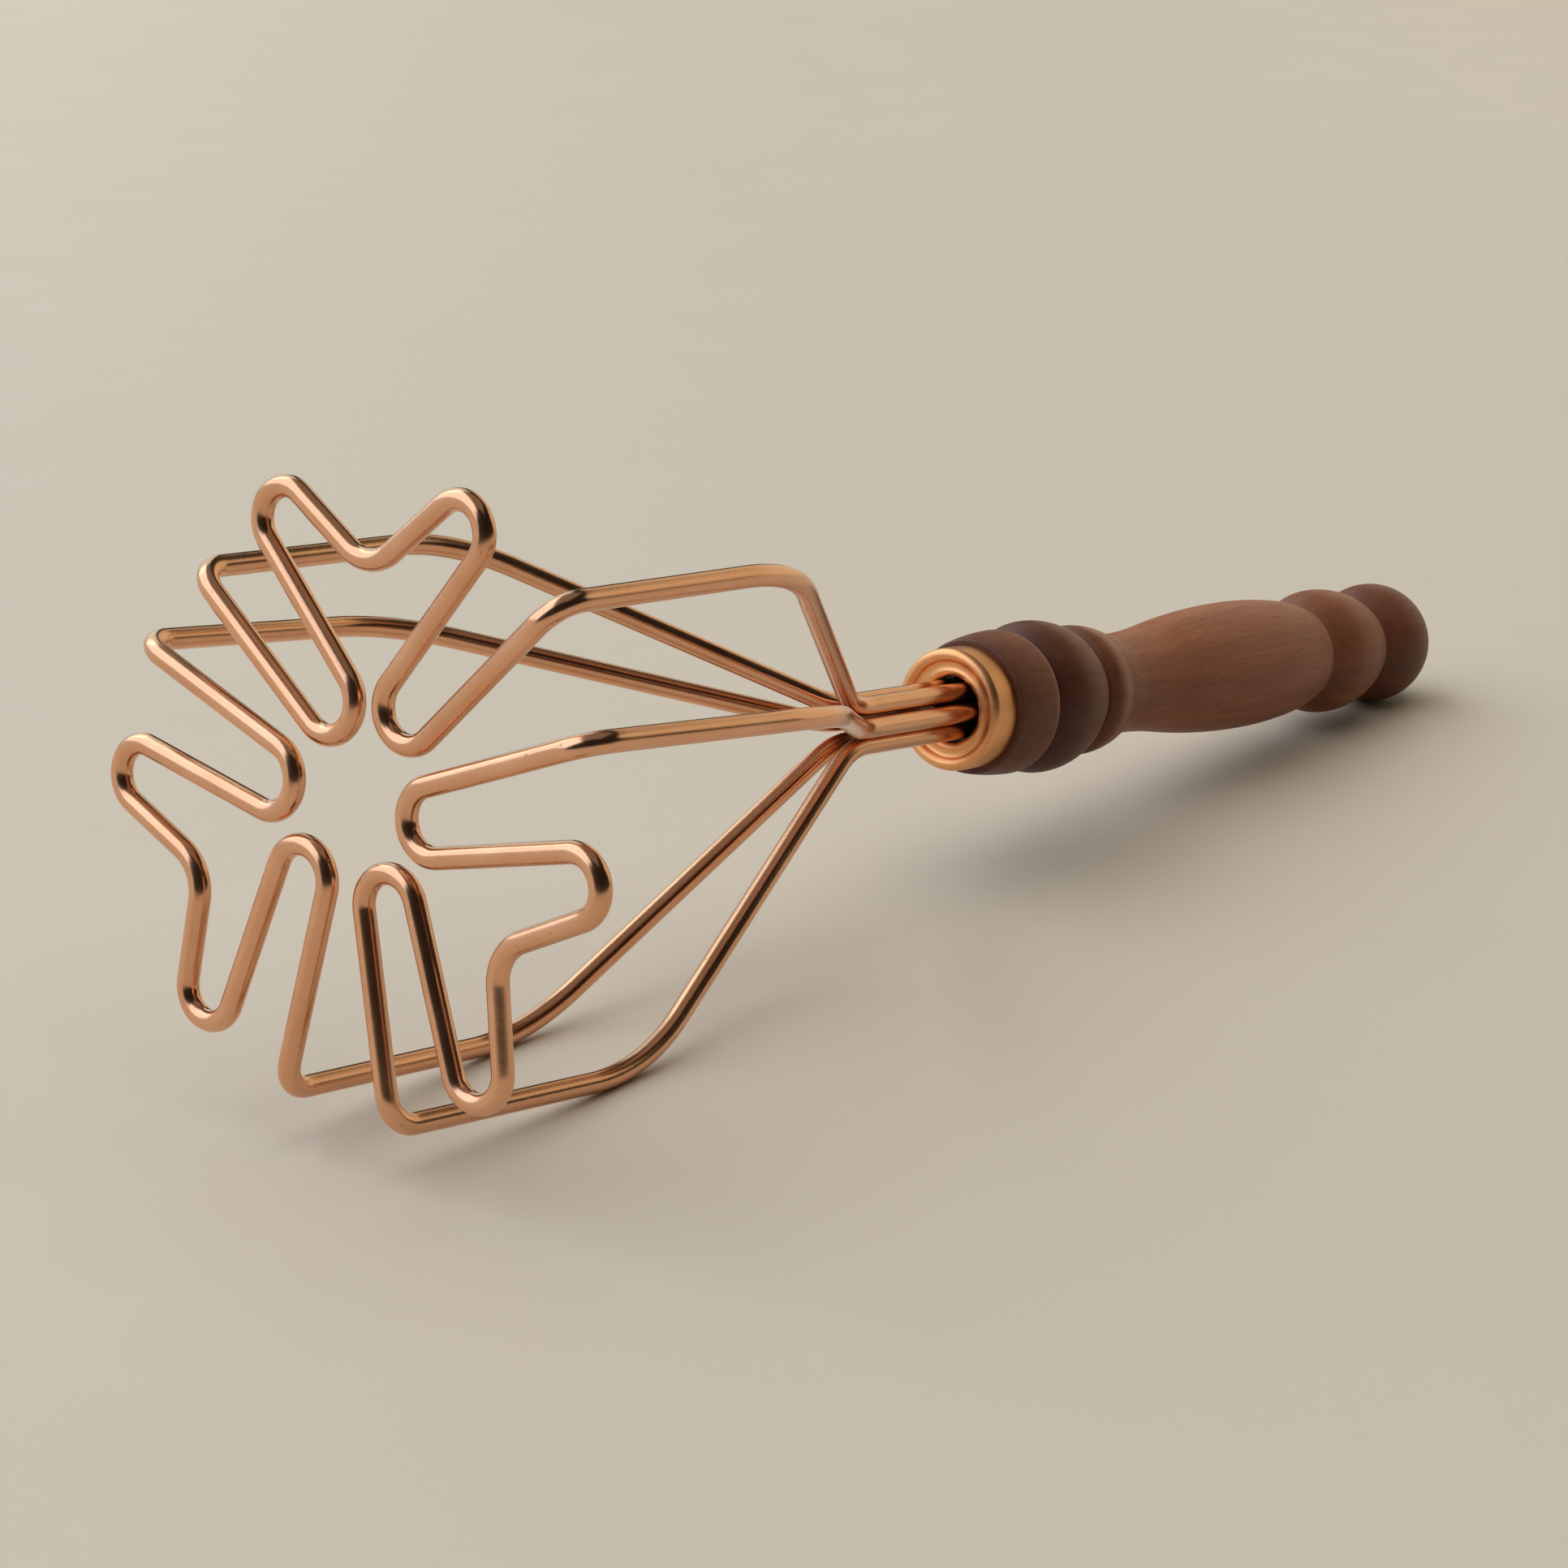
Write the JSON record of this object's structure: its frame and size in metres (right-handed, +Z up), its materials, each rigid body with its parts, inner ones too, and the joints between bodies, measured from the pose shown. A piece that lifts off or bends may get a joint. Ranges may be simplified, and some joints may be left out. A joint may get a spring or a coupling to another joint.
{
  "type": "pastry blender",
  "caption": "Hand pastry blender: bent round-wire loops spread into a flat cutting face at the front and gather into a ferrule on a turned wooden handle",
  "frame": {"origin": "on the table under the middle of the tool's bounding box, in the pose it lies in at rest", "axes": "+X runs level from the wire face towards the knob of the handle, +Z is up, +Y completes the right-handed frame"},
  "size_m": [0.2608, 0.0843, 0.0864],
  "materials": {
    "wire": "copper-plated steel wire, satin polish",
    "ferrule": "spun copper, satin",
    "handle_wood": "dark walnut, oiled, semi-matt",
    "clamp_steel": "plain drawn steel, hidden",
    "adhesive": "cured epoxy, hidden"
  },
  "bodies": {
    "root": {"wire_loop_upper": "wire", "wire_loop_right": "wire", "wire_loop_left": "wire", "ferrule": "ferrule", "handle": "handle_wood", "clamp_sleeve": "clamp_steel", "core_pin": "clamp_steel", "adhesive_plug": "adhesive"}
  },
  "joints": []
}
